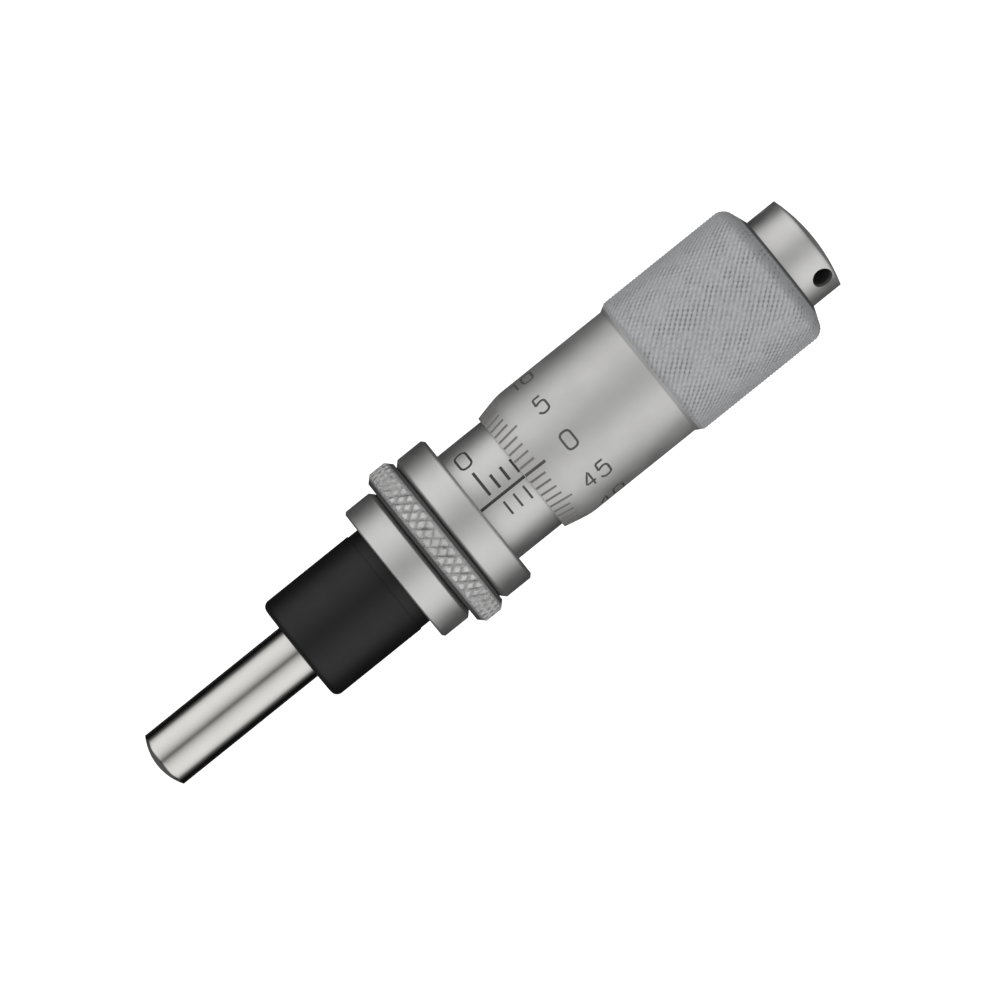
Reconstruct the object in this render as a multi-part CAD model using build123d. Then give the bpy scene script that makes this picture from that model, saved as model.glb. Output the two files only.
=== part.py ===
from build123d import *
import os
from math import asin, cos, degrees, pi, radians, sin, sqrt, tan

# Micrometer head with a ring lock, reading 0 to 13 mm. All sizes are in millimetres.
# The measuring axis is X, and +X points from the thimble to the spindle's tip.
# X is 0 at the seat face of the front flange, and +Z points at the index line.
# Outlines are (x, radius) corners, spun about X. Angles round X are counted from +Y to +Z.

# Travel
stroke = 13.0
reading = 3.0
pitch = 0.5

# Gaps between pieces that move on each other
spindle_gap = 0.02
collar_bore_gap = 0.03
web_gap = 0.10
thread_gap = 0.02
taper_gap = 0.02
ring_bore_gap = 0.05
ring_side_gap = 0.075
thimble_gap = 0.10

# Spindle
spindle_d = 5.0
tip_radius = 4.6
reach_at_zero = 17.60
taper_d = 5.2
taper_rate = 0.1
screw_d = 3.0
screw_gap = 0.02
screw_hole_depth = 4.6
thread_short = 0.7
draw_gap = 0.4

# Stem
stem_d = 9.5
stem_length = 9.8
stem_chamfer = 0.45
stem_mouth_chamfer = 0.15
stem_relief_depth = 0.075
stem_relief_length = 0.96
stem_spigot_wall = 1.48
stem_spigot_length = 2.0

# Front flange with its neck, and rear flange
front_flange_d = 12.8
front_flange_width = 2.92
front_flange_chamfer = 0.2
seat_recess_gap = 0.05
seat_recess_depth = 0.15
rear_flange_d = 14.1
rear_flange_width = 3.05
rear_flange_chamfer = 0.28
inner_rim_chamfer = 0.38
neck_wall = 0.9
neck_short = 0.35

# Shoulders of the flanges that run in recesses of the lock ring and keep dirt out
shoulder_height = 0.2
shoulder_land = 0.05
shoulder_gap = 0.06

# Lock ring
ring_d = 15.1
ring_width = 2.59
ring_chamfer = 0.55
knurl_pitch = 0.95
knurl_depth = 0.20
knurl_angle = 39.0
lock_turn = 35.0

# Split collar, roller and key under the lock ring
collar_wall = 1.02
collar_width = 2.4
collar_gap = 0.15
collar_side_gap = 0.06
collar_slit = 0.9
roller_d = 1.2
roller_length = 2.0
roller_window_gap = 0.04
roller_lift = 0.12
roller_press = 0.10
cam_gap = 0.027
pocket_margin = 0.8
roller_angle = -90.0
key_d = 0.8
key_sunk = 0.1
key_reach = 0.6

# Outer sleeve
sleeve_d = 10.5
sleeve_wall = 0.70
sleeve_spare = 3.0
zero_offset = 1.38
mark_reveal = 0.08
spanner_hole_d = 1.0
spanner_hole_offset = 2.2

# Inner sleeve with the split nut
guide_spare = 0.6
relief_wall = 1.35
split_nut_length = 10.0
slit_width = 0.4
slit_count = 3
slit_short = 0.9
inner_tail = 0.4
end_gap = 0.68

# Adjusting nut
nut_gap = 1.5
nut_length = 4.4
nut_wall = 0.7
nut_step = 0.35
nut_thread_lead = 1.0
nut_cone_length = 1.2
nut_cone_drop = 0.35
nut_slot_width = 0.9
nut_slot_depth = 0.8
nut_slot_count = 2

# Thimble
thimble_wall = 0.725
thimble_edge_wall = 0.20
thimble_cone_angle = 13.0
end_wall = 3.8
grip_length = 13.8
grip_rise = 0.425
grip_step_run = 0.7
grip_end_angle = 20.0
grip_end_chamfer = 0.65
end_face_margin = 0.06

# End cap
cap_d = 8.6
cap_length = 2.8
cap_crown = 0.66
cap_shank_length = 3.8
cap_hole_d = 1.75
cap_hole_depth = 2.0
cap_hole_offset = 0.88
cap_hole_angle = 50.4

# Places along the axis, from the flanges back to the thimble's end
ring_space_front_x = -front_flange_width
ring_space_rear_x = ring_space_front_x - ring_width - 2 * ring_side_gap
ring_x = (ring_space_front_x + ring_space_rear_x) / 2
web_rear_x = ring_x + collar_width / 2 + collar_side_gap
collar_space_rear_x = ring_x - collar_width / 2 - collar_side_gap
rear_flange_x = ring_space_rear_x - rear_flange_width
neck_end_x = rear_flange_x + neck_short
zero_x = rear_flange_x - zero_offset
thimble_edge_x = zero_x - reading - mark_reveal
sleeve_end_x = zero_x - stroke - sleeve_spare
nut_front_x = sleeve_end_x - nut_gap
nut_rear_x = nut_front_x - nut_length
nut_cone_x = nut_rear_x + nut_cone_length
inner_end_x = nut_rear_x - inner_tail
end_wall_x = inner_end_x - end_gap - reading
thimble_end_x = end_wall_x - end_wall

# Places on the spindle
tip_x = stem_length + reach_at_zero - reading
split_nut_x = inner_end_x + split_nut_length
thread_front_x = split_nut_x + stroke - reading
thread_rear_x = end_wall_x + thread_short
spindle_end_x = thimble_end_x + draw_gap
guide_end_x = thread_front_x + reading + guide_spare

# Radii
spindle_r = spindle_d / 2
guide_r = spindle_r + spindle_gap
thread_r = spindle_r + 0.6134 * pitch
nut_bore_r = thread_r + thread_gap
stem_r = stem_d / 2
stem_spigot_r = guide_r + stem_spigot_wall
collar_r = spindle_r + collar_bore_gap + collar_wall
collar_space_r = collar_r + collar_gap
neck_r = collar_space_r + neck_wall
front_flange_r = front_flange_d / 2
rear_flange_r = rear_flange_d / 2
front_shoulder_r = front_flange_r - inner_rim_chamfer - shoulder_land
rear_shoulder_r = rear_flange_r - inner_rim_chamfer - shoulder_land
ring_r = ring_d / 2
tooth_count = round(pi * ring_d / knurl_pitch)
roller_r = roller_d / 2
roller_centre_r = collar_r + roller_lift + roller_r
sleeve_r = sleeve_d / 2
inner_r = sleeve_r - sleeve_wall
nut_thread_r = inner_r - nut_step
nut_r = nut_thread_r + nut_wall
nut_cone_rate = nut_cone_drop / nut_cone_length
thimble_bore_r = sleeve_r + thimble_gap
thimble_edge_r = thimble_bore_r + thimble_edge_wall
thimble_r = thimble_bore_r + thimble_wall
grip_r = thimble_r + grip_rise
cap_r = cap_d / 2
screw_r = screw_d / 2


def taper_r(x):
    """The radius of the spindle's taper at x."""
    return (taper_d - taper_rate * (end_wall_x - x)) / 2


def spun(outline, rims=()):
    """A turned piece: spins an outline about the measuring axis. rims holds (x, radius, chamfer)."""
    section = make_face(outline)
    for x, radius, size in rims:
        section = chamfer(section.vertices().sort_by_distance((x, radius, 0))[0], size)
    return revolve(section, Axis.X)


def corners(*points):
    """A closed outline through (x, radius) corners."""
    return Polyline(*points, close=True)


def crown(apex_x, radius, rim_r, facing):
    """Half the outline of a spherical end that faces along facing * X."""
    half_angle = asin(rim_r / radius) / 2
    centre_x = apex_x - facing * radius
    points = []
    for angle in (0, half_angle, 2 * half_angle):
        points.append((centre_x + facing * radius * cos(angle), radius * sin(angle)))
    return ThreePointArc(*points)


def radial_hole(x, angle, diameter, inner_r, outer_r):
    """A cylinder along the radius that points at angle."""
    depth = outer_r - inner_r
    drill = Pos(X=(inner_r + outer_r) / 2) * Rot(Y=90) * Cylinder(diameter / 2, depth)
    return Pos(X=x) * Rot(X=angle) * Rot(Z=90) * drill


def radial_slot(front_x, rear_x, angle, width, inner_r, outer_r):
    """A box that cuts through a wall along the radius that points at angle."""
    block = Box(front_x - rear_x, outer_r - inner_r, width)
    return Rot(X=angle) * Pos((front_x + rear_x) / 2, (inner_r + outer_r) / 2, 0) * block


def make_spindle():
    tip = crown(tip_x, tip_radius, spindle_r, 1)
    hole_end_x = spindle_end_x + screw_hole_depth
    body = Polyline(
        tip @ 1,
        (thread_front_x, spindle_r),
        (thread_front_x, thread_r),
        (thread_rear_x, thread_r),
        (thread_rear_x, taper_r(thread_rear_x)),
        (spindle_end_x, taper_r(spindle_end_x)),
        (spindle_end_x, screw_r),
        (hole_end_x, screw_r),
        (hole_end_x, 0),
        tip @ 0,
    )
    return spun(tip + body)


def make_stem():
    mouth_r = guide_r + stem_mouth_chamfer
    relief_r = stem_r - stem_relief_depth
    outline = corners(
        (stem_length, mouth_r),
        (stem_length, stem_r),
        (stem_relief_length, stem_r),
        (stem_relief_length, relief_r),
        (-seat_recess_depth, relief_r),
        (-seat_recess_depth, stem_spigot_r),
        (-stem_spigot_length, stem_spigot_r),
        (-stem_spigot_length, guide_r),
        (stem_length - stem_mouth_chamfer, guide_r),
    )
    return spun(outline, [(stem_length, stem_r, stem_chamfer)])


def make_front_flange():
    recess_r = stem_r + seat_recess_gap
    shoulder_x = ring_space_front_x - shoulder_height
    outline = corners(
        (-seat_recess_depth, stem_spigot_r),
        (-seat_recess_depth, recess_r),
        (0, recess_r),
        (0, front_flange_r),
        (ring_space_front_x, front_flange_r),
        (ring_space_front_x, front_shoulder_r),
        (shoulder_x, front_shoulder_r),
        (shoulder_x, neck_r),
        (neck_end_x, neck_r),
        (neck_end_x, collar_space_r),
        (web_rear_x, collar_space_r),
        (web_rear_x, spindle_r + web_gap),
        (-stem_spigot_length, spindle_r + web_gap),
        (-stem_spigot_length, stem_spigot_r),
    )
    rims = [
        (0, front_flange_r, front_flange_chamfer),
        (ring_space_front_x, front_flange_r, inner_rim_chamfer),
    ]
    body = spun(outline, rims)
    half_window = roller_length / 2 + roller_window_gap
    window_width = roller_d + 2 * roller_window_gap
    window = radial_slot(
        ring_x + half_window, ring_x - half_window, roller_angle, window_width, collar_r, ring_r
    )
    key_hole = radial_hole(ring_x, roller_angle + 180, key_d, collar_r, ring_r)
    return body - window - key_hole


def make_clamp_collar():
    front_x = ring_x + collar_width / 2
    rear_x = ring_x - collar_width / 2
    bore_r = spindle_r + collar_bore_gap
    body = spun(corners((front_x, bore_r), (front_x, collar_r), (rear_x, collar_r), (rear_x, bore_r)))
    return body - radial_slot(front_x, rear_x, roller_angle + 180, collar_slit, 0, 2 * collar_r)


def make_collar_key():
    return radial_hole(ring_x, roller_angle + 180, key_d, collar_r - key_reach, neck_r - key_sunk)


def make_lock_roller():
    roller = Rot(Y=90) * Cylinder(roller_r, roller_length)
    return Rot(X=roller_angle) * Pos(ring_x, roller_centre_r, 0) * roller


def cam_pocket():
    """The space for the roller: an off-centre bore over part of the turn, narrower as the ring locks."""
    half_turn = radians(lock_turn / 2)
    offset = roller_press / (2 * sin(half_turn))
    to_roller = sqrt(roller_centre_r**2 + offset**2 - 2 * roller_centre_r * offset * sin(half_turn))
    cam_r = to_roller + roller_r + cam_gap
    centre_angle = roller_angle + 90 - lock_turn / 2
    margin = degrees(asin(roller_r / roller_centre_r)) + pocket_margin
    bore = Rot(Z=centre_angle) * Pos(X=offset) * Circle(cam_r)
    first = radians(roller_angle - lock_turn - margin)
    last = radians(roller_angle + margin)
    middle = (first + last) / 2
    reach = 2 * cam_r
    wedge = [(0, 0)] + [(reach * cos(a), reach * sin(a)) for a in (first, middle, last)]
    sector = bore & make_face(Polyline(*wedge, close=True))
    return Pos(X=ring_x) * extrude(Plane.YZ * sector, ring_width / 2, both=True)


def ring_blank():
    """The ring before its knurl and bore: a prism with one flat for each tooth, chamfered at both ends."""
    flats = Plane.YZ * RegularPolygon(ring_r, tooth_count)
    prism = Pos(X=ring_x) * extrude(flats, ring_width / 2, both=True)
    return chamfer(prism.faces().filter_by(Axis.X).edges(), ring_chamfer)


def ring_knurl():
    """Two crossing sets of straight V grooves, one cutter for each groove."""
    root_r = ring_r - knurl_depth
    height = 2 * knurl_depth + ring_chamfer
    groove = Polyline((0, root_r), (height, root_r + height), (-height, root_r + height), close=True)
    cutter = extrude(Plane.YZ * make_face(groove), ring_width, both=True)
    grooves = []
    for slant in (knurl_angle, -knurl_angle):
        for i in range(tooth_count):
            grooves.append(Rot(X=360 * i / tooth_count) * Pos(X=ring_x) * Rot(Z=slant) * cutter)
    return grooves


def make_lock_ring():
    bore = Rot(Y=90) * Cylinder(neck_r + ring_bore_gap, ring_width)
    front = Rot(Y=90) * Cylinder(front_shoulder_r + shoulder_gap, 2 * shoulder_height)
    rear = Rot(Y=90) * Cylinder(rear_shoulder_r + shoulder_gap, 2 * shoulder_height)
    half = ring_width / 2
    recesses = [Pos(X=ring_x + half) * front, Pos(X=ring_x - half) * rear]
    return ring_blank() - ring_knurl() - Pos(X=ring_x) * bore - recesses - cam_pocket()


def make_rear_flange():
    shoulder_x = ring_space_rear_x + shoulder_height
    outline = corners(
        (shoulder_x, neck_r),
        (shoulder_x, rear_shoulder_r),
        (ring_space_rear_x, rear_shoulder_r),
        (ring_space_rear_x, rear_flange_r),
        (rear_flange_x, rear_flange_r),
        (rear_flange_x, neck_r),
    )
    rims = [
        (ring_space_rear_x, rear_flange_r, inner_rim_chamfer),
        (rear_flange_x, rear_flange_r, rear_flange_chamfer),
    ]
    return spun(outline, rims)


def make_inner_sleeve():
    relief_r = inner_r - relief_wall
    thread_x = nut_front_x + nut_thread_lead
    cone_end_r = nut_thread_r - nut_cone_rate * (nut_cone_x - inner_end_x)
    outline = corners(
        (collar_space_rear_x, guide_r),
        (collar_space_rear_x, collar_space_r),
        (rear_flange_x, collar_space_r),
        (rear_flange_x, inner_r),
        (thread_x, inner_r),
        (thread_x, nut_thread_r),
        (nut_cone_x, nut_thread_r),
        (inner_end_x, cone_end_r),
        (inner_end_x, nut_bore_r),
        (split_nut_x, nut_bore_r),
        (split_nut_x, relief_r),
        (guide_end_x, relief_r),
        (guide_end_x, guide_r),
    )
    body = spun(outline)
    for i in range(slit_count):
        angle = 360 * i / slit_count
        body -= radial_slot(split_nut_x - slit_short, inner_end_x, angle, slit_width, 0, sleeve_r)
    return body


def make_outer_sleeve():
    outline = corners(
        (rear_flange_x, inner_r),
        (rear_flange_x, sleeve_r),
        (sleeve_end_x, sleeve_r),
        (sleeve_end_x, inner_r),
    )
    hole_x = rear_flange_x - spanner_hole_offset
    hole = radial_hole(hole_x, -90, spanner_hole_d, inner_r - sleeve_wall, sleeve_r + sleeve_wall)
    return spun(outline) - hole


def make_adjusting_nut():
    outline = corners(
        (nut_front_x, nut_thread_r),
        (nut_front_x, nut_r),
        (nut_rear_x, nut_r),
        (nut_rear_x, nut_thread_r - nut_cone_drop),
        (nut_cone_x, nut_thread_r),
    )
    body = spun(outline)
    for i in range(nut_slot_count):
        angle = 360 * i / nut_slot_count
        slot_x = nut_rear_x + nut_slot_depth
        body -= radial_slot(slot_x, nut_rear_x, angle, nut_slot_width, 0, 2 * nut_r)
    return body


def make_thimble():
    cone_x = thimble_edge_x - (thimble_r - thimble_edge_r) / tan(radians(thimble_cone_angle))
    grip_x = thimble_end_x + grip_length
    end_face_r = cap_r + end_face_margin
    grip_end_x = thimble_end_x + (grip_r - end_face_r) * tan(radians(grip_end_angle))
    outline = corners(
        (thimble_edge_x, thimble_bore_r),
        (thimble_edge_x, thimble_edge_r),
        (cone_x, thimble_r),
        (grip_x, thimble_r),
        (grip_x - grip_step_run, grip_r),
        (grip_end_x, grip_r),
        (thimble_end_x, end_face_r),
        (thimble_end_x, taper_r(thimble_end_x) + taper_gap),
        (end_wall_x, taper_r(end_wall_x) + taper_gap),
        (end_wall_x, thimble_bore_r),
    )
    return spun(outline, [(grip_end_x, grip_r, grip_end_chamfer)])


def make_thimble_cap():
    rim_x = thimble_end_x - cap_length
    crown_radius = (cap_r**2 + cap_crown**2) / (2 * cap_crown)
    end = crown(rim_x - cap_crown, crown_radius, cap_r, -1)
    shank_r = screw_r - screw_gap
    shank_end_x = thimble_end_x + cap_shank_length
    body = Polyline(
        end @ 1,
        (thimble_end_x, cap_r),
        (thimble_end_x, shank_r),
        (shank_end_x, shank_r),
        (shank_end_x, 0),
        end @ 0,
    )
    hole = radial_hole(
        rim_x + cap_hole_offset, cap_hole_angle, cap_hole_d, cap_r - cap_hole_depth, 2 * cap_r
    )
    return spun(end + body) - hole


pieces = {
    "spindle": make_spindle(),
    "stem": make_stem(),
    "front_flange": make_front_flange(),
    "clamp_collar": make_clamp_collar(),
    "collar_key": make_collar_key(),
    "lock_roller": make_lock_roller(),
    "lock_ring": make_lock_ring(),
    "rear_flange": make_rear_flange(),
    "inner_sleeve": make_inner_sleeve(),
    "outer_sleeve": make_outer_sleeve(),
    "adjusting_nut": make_adjusting_nut(),
    "thimble": make_thimble(),
    "thimble_cap": make_thimble_cap(),
}

os.makedirs("parts", exist_ok=True)
for name, piece in pieces.items():
    export_step(piece, f"parts/{name}.step")
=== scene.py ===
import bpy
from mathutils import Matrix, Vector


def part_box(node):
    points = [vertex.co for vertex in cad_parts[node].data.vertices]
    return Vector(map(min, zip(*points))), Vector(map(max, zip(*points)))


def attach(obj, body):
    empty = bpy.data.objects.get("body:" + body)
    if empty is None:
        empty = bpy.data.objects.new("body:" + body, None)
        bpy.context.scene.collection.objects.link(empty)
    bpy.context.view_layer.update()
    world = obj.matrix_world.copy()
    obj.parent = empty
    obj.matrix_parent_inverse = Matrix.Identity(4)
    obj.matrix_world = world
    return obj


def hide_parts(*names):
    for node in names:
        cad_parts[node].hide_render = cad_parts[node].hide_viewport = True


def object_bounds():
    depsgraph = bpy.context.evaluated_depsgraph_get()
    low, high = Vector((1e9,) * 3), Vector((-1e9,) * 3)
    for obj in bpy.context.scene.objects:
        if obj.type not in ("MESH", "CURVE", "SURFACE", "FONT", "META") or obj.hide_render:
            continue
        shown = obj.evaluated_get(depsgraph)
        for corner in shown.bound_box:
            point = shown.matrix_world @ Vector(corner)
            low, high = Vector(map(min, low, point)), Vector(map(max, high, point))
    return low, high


bl_info = {
    "name": "Micrometer head",
    "version": (1, 0, 0),
    "blender": (4, 5, 0),
    "location": "View3D > Sidebar > Micrometer head",
    "description": "Finishes, knurled thimble, stem and engraved scales of a micrometer head",
    "category": "Object",
}

from math import atan2, cos, hypot, pi, radians, sin, tan

import bmesh
import bpy
from bpy.props import FloatProperty, FloatVectorProperty, IntProperty, PointerProperty
from bpy.types import Operator, Panel, PropertyGroup
from mathutils import Matrix, Vector
from mathutils.bvhtree import BVHTree

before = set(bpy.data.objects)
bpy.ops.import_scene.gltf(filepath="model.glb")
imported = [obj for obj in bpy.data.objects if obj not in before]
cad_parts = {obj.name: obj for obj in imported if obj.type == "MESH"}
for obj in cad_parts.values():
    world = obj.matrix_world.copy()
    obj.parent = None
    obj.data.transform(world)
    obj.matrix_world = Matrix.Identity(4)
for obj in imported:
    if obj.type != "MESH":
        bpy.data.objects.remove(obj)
cad_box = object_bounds()

MM = 0.001

# Points nearer than SAME are one point, and surfaces nearer than NEAR are one surface
SAME = 0.0001 * MM
NEAR = 0.02 * MM
# The search for the surface under a line starts at OUTSIDE and goes as far as REACH
OUTSIDE = 20 * MM
REACH = 30 * MM
# What lies this near to the lock ring's ends is beside it
BESIDE = 0.3 * MM
# Longest straight piece of a round in an outline, and of an engraved line
ROUND_STEP = 0.1 * MM
LINE_STEP = 0.5 * MM

# Places read from the solids: +X is the measuring axis, 0 is the front flange's seat face
STEM_LOW, STEM_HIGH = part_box("stem")
RING_LOW, RING_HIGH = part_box("lock_ring")
THIMBLE_LOW, THIMBLE_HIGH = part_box("thimble")
FLANGE_REAR_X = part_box("rear_flange")[0].x


def length(name, description, millimetres):
    """A size, as a property in metres."""
    default = millimetres * MM
    return FloatProperty(name=name, description=description, default=default, unit="LENGTH", precision=5)


def angle(name, description, degrees):
    """An angle, as a property."""
    return FloatProperty(name=name, description=description, default=radians(degrees), subtype="ANGLE")


def number(name, description, default):
    """A plain number or a share, as a property."""
    return FloatProperty(name=name, description=description, default=default)


def colour(name, description, default):
    """A linear colour, as a property."""
    return FloatVectorProperty(
        name=name, description=description, default=default, size=3, subtype="COLOR", min=0, max=1
    )


class StemSettings(PropertyGroup):
    """Sizes of the clamping stem."""

    rim_round: length("Rim round", "Radius of the stem's front rim", 0.64)
    mouth_round: length("Mouth round", "Radius at the mouth of the stem's bore", 0.12)
    bore: length("Bore", "Radius of the bore that guides the spindle", 2.52)
    spigot: length("Spigot", "Radius of the spigot pressed into the front flange", 4.0)
    relief_depth: length("Relief depth", "Depth of the relief next to the flange", 0.075)
    relief_length: length("Relief length", "Length of the relief in front of the flange", 0.96)
    relief_round: length("Relief round", "Radius of the edge in front of the relief", 0.04)
    shoulder: length("Shoulder", "Depth of the flange's recess, where the stem's shoulder seats", 0.15)


class RimSettings(PropertyGroup):
    """Soft rims of the flanges, the spindle's tip and the end cap."""

    tip_radius: length("Tip radius", "Radius of the spindle at its tip", 2.5)
    inside: length("Inside", "From a flange's radius to the surfaces inside the lock", 0.42)
    corner_lean: angle("Corner lean", "Lean of a dark rim at its corner", 20)
    dome_share: number("Dome share", "Share of a dome's radius over which its corner is softened", 0.4)
    inner_lean: angle("Inner lean", "Lean of a rim at its inner edge", 62)


class ThimbleSettings(PropertyGroup):
    """Sizes of the thimble and its grip."""

    bore: length("Bore", "Radius of the thimble's bore", 5.35)
    edge_wall: length("Edge wall", "Wall left at the bevelled edge", 0.20)
    edge_round: length("Edge round", "Radius of that edge outside, twice the one inside", 0.06)
    wall: length("Wall", "Wall of the thimble in front of the grip", 0.725)
    cone_angle: angle("Cone angle", "Slope of the graduated cone", 13)
    cone_round: length("Cone round", "Radius where the cone runs into the cylinder", 5.0)
    grip_length: length("Grip length", "Length of the grip with its front step", 13.68)
    step_run: length("Step run", "Length of the step up to the grip", 0.7)
    step_foot: length("Step foot", "Radius at the foot of that step", 0.15)
    step_round: length("Step round", "Radius at the top of that step", 0.45)
    end_angle: angle("End angle", "Slope of the thimble's end face", 20)
    end_round: length("End round", "Radius of the grip's rear corner", 1.15)
    end_face: length("End face", "Radius of the flat that the end cap seats on", 4.36)
    seat_round: length("Seat round", "Radius of the round at that flat's rim", 0.05)
    end_wall: length("End wall", "Thickness of the wall that sits on the spindle's taper", 3.8)
    taper_bore: length("Taper bore", "Larger radius of the taper bore", 2.62)
    taper_fall: length("Taper fall", "How much the taper bore narrows over the end wall", 0.19)
    knurl_teeth: IntProperty(name="Knurl teeth", description="Teeth round the grip", default=80)
    knurl_pitch: length("Knurl pitch", "Spacing of the knurl along the grip", 0.608)
    knurl_depth: length("Knurl depth", "Depth of the grip's knurl", 0.13)
    cross_depth: number("Cross depth", "Depth of the second set of grooves, as a share", 0.6)
    groove_half: number("Groove half", "Half of a groove's width, as a share of its pitch", 0.46)
    knurl_start: number("Knurl start", "Share of the step at which the knurl starts", 0.48)
    knurl_fall: length("Knurl fall", "How far below the crests the knurl still runs", 1.4)
    front_fade: length("Front fade", "Run over which the knurl grows deep", 0.3)
    rear_fade: length("Rear fade", "Run round the rear corner over which it fades out", 2.4)


class HoleSettings(PropertyGroup):
    """Place of the spanner hole in the end cap, and of the shade painted inside it."""

    from_end: length("From the end", "From the cap's end to the hole's axis", 1.54)
    radius: length("Radius", "Radius of the hole", 0.875)
    angle: angle("Angle", "From +Y towards +Z to the hole", 50.4)
    # fall, lip and margin place the painted shade inside the hole
    fall: length("Fall", "From the cap's surface down to the dark", 0.5)
    lip: length("Lip", "From the cap's surface down to where the dark begins", 0.1)
    margin: length("Margin", "Dark ring round the hole's edge", 0.01)


class ScaleSettings(PropertyGroup):
    """Sizes of the engraved scales."""

    zero_offset: length("Zero offset", "From the rear flange to the zero mark", 1.38)
    stroke: length("Travel", "Length of the main scale", 13)
    mark_width: length("Mark width", "Width of a millimetre mark", 0.25)
    index_width: length("Index width", "Width of the index line and the zero line", 0.25)
    fine_width: length("Fine line width", "Width of a half mark or of a line round the thimble", 0.19)
    stroke_width: length("Stroke width", "Width of the numerals' strokes", 0.20)
    mark_gap: length("Mark gap", "From the index line's middle to a mark", 0.53)
    mark_end: length("Mark end", "From the index line's middle to a short mark's far end", 1.84)
    long_end: length("Long mark end", "From the index line's middle to a long mark's far end", 2.9)
    numeral_gap: length("Numeral gap", "From a long mark to its numeral", 0.69)
    numeral_height: length("Sleeve numeral height", "Height of the numerals on the sleeve", 1.73)
    graduations: IntProperty(name="Graduations", description="Lines round the thimble", default=50)
    short_line: length("Short line", "Length of a thimble line", 1.52)
    long_line: length("Long line", "Length of every fifth thimble line", 2.08)
    thimble_numeral_height: length("Thimble numeral height", "Height of the numerals on the thimble", 1.57)
    numeral_place: length("Numeral place", "From the thimble's edge to its numerals' middle", 4.6)
    numeral_lift: length("Numeral lift", "From a line's middle up to its numeral's middle", 0.12)
    relief: length("Paint height", "How far the paint stands out of an engraved line", 0.012)
    index_past: length("Past the scale", "Index line left of the last mark", 0.8)
    line_inset: length("Line inset", "From the thimble's edge to its lines", 0.07)


class FinishSettings(PropertyGroup):
    """Colours of the finishes."""

    chrome: colour("Satin chrome", "Flanges, sleeve and thimble", (0.77, 0.767, 0.76))
    grip: colour("Knurled grip", "Grip of the thimble", (0.735, 0.745, 0.76))
    ring: colour("Knurled ring", "Lock ring", (0.745, 0.743, 0.74))
    cap: colour("Turned chrome", "End cap", (0.785, 0.78, 0.773))
    spindle: colour("Ground steel", "Spindle", (0.80, 0.785, 0.755))
    black: colour("Black oxide", "Clamping stem", (0.004, 0.004, 0.0043))
    steel: colour("Turned steel", "Inner sleeve and nut", (0.55, 0.55, 0.56))
    hard: colour("Hard steel", "Roller and key", (0.60, 0.60, 0.61))
    brass: colour("Brass", "Split collar", (0.72, 0.54, 0.28))
    paint: colour("Dark paint", "Index line, millimetre marks and their numerals", (0.068, 0.065, 0.063))
    worn_paint: colour("Worn paint", "Half marks, zero line and thimble numerals", (0.120, 0.115, 0.110))
    soft_paint: colour("Grey paint", "Lines round the thimble", (0.25, 0.24, 0.23))


class StudioSettings(PropertyGroup):
    """The camera, the light and the floor."""

    distance: length("Camera distance", "From the camera to the plane through the axis", 1500)
    lens: FloatProperty(name="Lens", description="Focal length", default=671.6, unit="CAMERA")
    roll: angle("Roll", "Turn of the picture about the view", 141.2)
    tilt: angle("Tilt", "Turn of the view about the measuring axis", 4.2)
    middle: length("Middle", "Place on the axis near the picture's middle", -10.76)
    shift_right: length("Shift right", "From that place to the picture's middle, to the right", 0.156)
    shift_up: length("Shift up", "From that place to the picture's middle, upwards", -0.689)
    floor_depth: length("Floor depth", "From the axis down to the floor", 30)
    card_depth: length("Card depth", "From the axis down to the dark card", 24)
    light: number("Light", "Level of the soft light", 1.12)
    end_light: number("End light", "Level of the light towards both ends", 0.12)
    card_end: length("Card end", "From each end of the head to the grey patch of the card", 4)
    patch: length("Patch", "Size of the grey patch of the card under each end", 160)
    patch_level: number("Patch level", "Glow of that patch", 0.10)


SETTINGS = {
    "micrometer_stem": StemSettings,
    "micrometer_rims": RimSettings,
    "micrometer_thimble": ThimbleSettings,
    "micrometer_hole": HoleSettings,
    "micrometer_scale": ScaleSettings,
    "micrometer_finish": FinishSettings,
    "micrometer_studio": StudioSettings,
}


# Shader nodes


def node_group(name, outputs, **inputs):
    """A shader node group of numbers: its tree, the sockets it is given and those it gives."""
    group = bpy.data.node_groups.new(name, "ShaderNodeTree")
    for socket, value in inputs.items():
        item = group.interface.new_socket(socket, in_out="INPUT", socket_type="NodeSocketFloat")
        item.default_value = value
    for socket in outputs:
        group.interface.new_socket(socket, in_out="OUTPUT", socket_type="NodeSocketFloat")
    return group, group.nodes.new("NodeGroupInput").outputs, group.nodes.new("NodeGroupOutput").inputs


def add(tree, kind, links=None, **settings):
    """One shader node of a kind, its settings, and links or values for its inputs."""
    node = tree.nodes.new("ShaderNode" + kind)
    for key, value in settings.items():
        setattr(node, key, value)
    for socket, value in (links or {}).items():
        if isinstance(value, bpy.types.NodeSocket):
            tree.links.new(value, node.inputs[socket])
        else:
            node.inputs[socket].default_value = value
    return node


def math(tree, operation, first, second=0.0):
    """The result of one math node."""
    return add(tree, "Math", {0: first, 1: second}, operation=operation).outputs[0]


def vector_math(tree, operation, first, second=(0, 0, 0), output=0):
    """The result of one vector math node."""
    return add(tree, "VectorMath", {0: first, 1: second}, operation=operation).outputs[output]


def object_place(tree):
    """A point's place in its piece."""
    return add(tree, "TexCoord").outputs["Object"]


def noise(tree, place, scale, detail, **more):
    """The result of one noise texture."""
    return add(tree, "TexNoise", {"Vector": place, "Scale": scale, "Detail": detail, **more}).outputs["Fac"]


def swing(tree, value, amount):
    """A noise's swing about its middle, made larger or smaller."""
    return math(tree, "MULTIPLY", math(tree, "SUBTRACT", value, 0.5), amount)


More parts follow.
